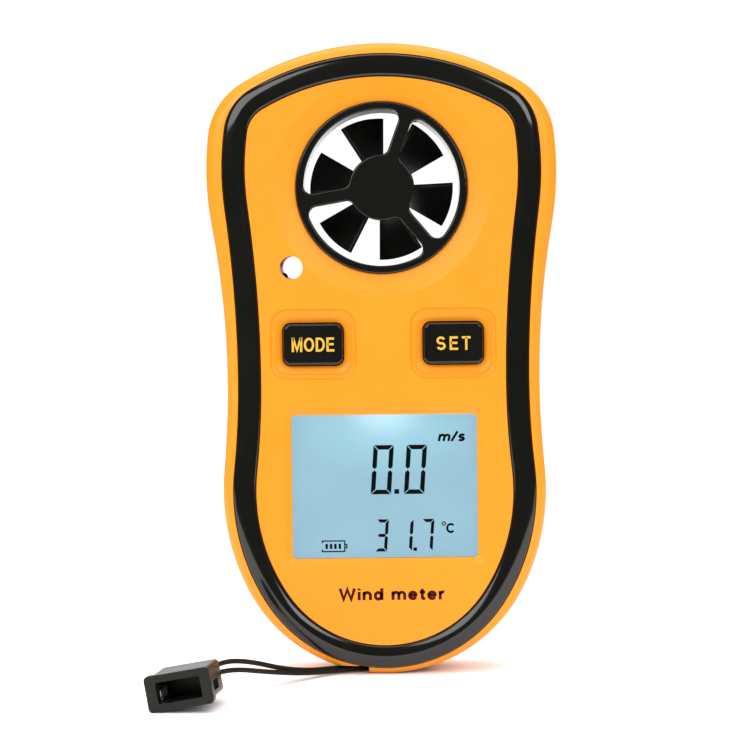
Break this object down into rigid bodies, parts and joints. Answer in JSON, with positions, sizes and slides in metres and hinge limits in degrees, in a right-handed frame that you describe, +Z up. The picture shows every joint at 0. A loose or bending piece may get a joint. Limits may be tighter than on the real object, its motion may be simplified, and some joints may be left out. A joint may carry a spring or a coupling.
{
  "type": "handheld vane anemometer",
  "caption": "Pocket weather meter with a guarded vane, display, press buttons and wrist lanyard.",
  "frame": {"origin": "bottom centre of the meter's own box, under its rounded lower end, centred left to right and front to back, without the lanyard", "axes": "+Z up the body from the lower end to the vane end, the face with the display towards -Y, +X to the right as a reader sees the display"},
  "size_m": [0.0654, 0.0538, 0.1034],
  "materials": {
    "orange_shell": "satin",
    "black_gloss": "gloss",
    "black_plastic": "satin",
    "clear_window": "gloss",
    "lcd_glass": "gloss",
    "frame_plastic": "matte",
    "guide_plastic": "gloss",
    "led_plastic": "gloss",
    "zebra_rubber": "matte",
    "board_green": "satin",
    "chip_black": "matte",
    "component_metal": "satin",
    "capacitor_tan": "matte",
    "cell_steel": "brushed",
    "contact_metal": "satin",
    "screw_steel": "satin",
    "shaft_steel": "polished",
    "bearing_bronze": "satin",
    "magnet_grey": "matte",
    "cord_black": "matte",
    "lead_copper": "satin"
  },
  "bodies": {
    "meter": {"front_shell": "orange_shell", "rear_shell": "orange_shell", "accent_band": "black_gloss", "front_guard": "black_gloss", "rear_guard": "black_gloss", "vane_duct": "black_gloss", "window_lens": "clear_window", "lcd_panel": "lcd_glass", "lcd_frame": "frame_plastic", "backlight_guide": "guide_plastic", "backlight_led": "led_plastic", "zebra_strip": "zebra_rubber", "circuit_board": "board_green", "main_chip": "chip_black", "clock_crystal": "component_metal", "capacitors": "capacitor_tan", "resistors": "chip_black", "mode_switch": "component_metal", "set_switch": "component_metal", "coin_cell": "cell_steel", "positive_contact": "contact_metal", "negative_contact": "contact_metal", "case_screws": "screw_steel", "board_screws": "screw_steel", "front_bearing": "bearing_bronze", "rear_bearing": "bearing_bronze", "hall_sensor": "chip_black", "hall_leads": "lead_copper", "thermistor": "black_plastic", "thermistor_leads": "lead_copper", "lanyard_pin": "shaft_steel", "clip_socket": "black_gloss", "clip_anchor": "black_gloss", "lanyard_cord": "cord_black"},
    "rotor": {"impeller": "black_plastic", "rotor_magnet": "magnet_grey", "vane_shaft": "shaft_steel"},
    "mode_key": {"mode_button": "black_gloss", "mode_plunger": "black_plastic"},
    "set_key": {"set_button": "black_gloss", "set_plunger": "black_plastic"},
    "door": {"battery_door": "orange_shell"}
  },
  "joints": [
    {"name": "vane_spin", "type": "hinge", "parent": "meter", "child": "rotor", "pos_m": [0, 0.0005, 0.0798], "axis": [0, 1, 0], "continuous": true},
    {"name": "mode_press", "type": "slide", "parent": "meter", "child": "mode_key", "axis": [0, 1, 0], "range_m": [0, 0.0004], "stiffness_N_per_m": 600, "springref_m": -0.0008},
    {"name": "set_press", "type": "slide", "parent": "meter", "child": "set_key", "axis": [0, 1, 0], "range_m": [0, 0.0004], "stiffness_N_per_m": 600, "springref_m": -0.0008},
    {"name": "door_swing", "type": "hinge", "parent": "meter", "child": "door", "pos_m": [0, 0.009, 0.0187], "axis": [-1, 0, 0], "range_deg": [0, 75]}
  ]
}
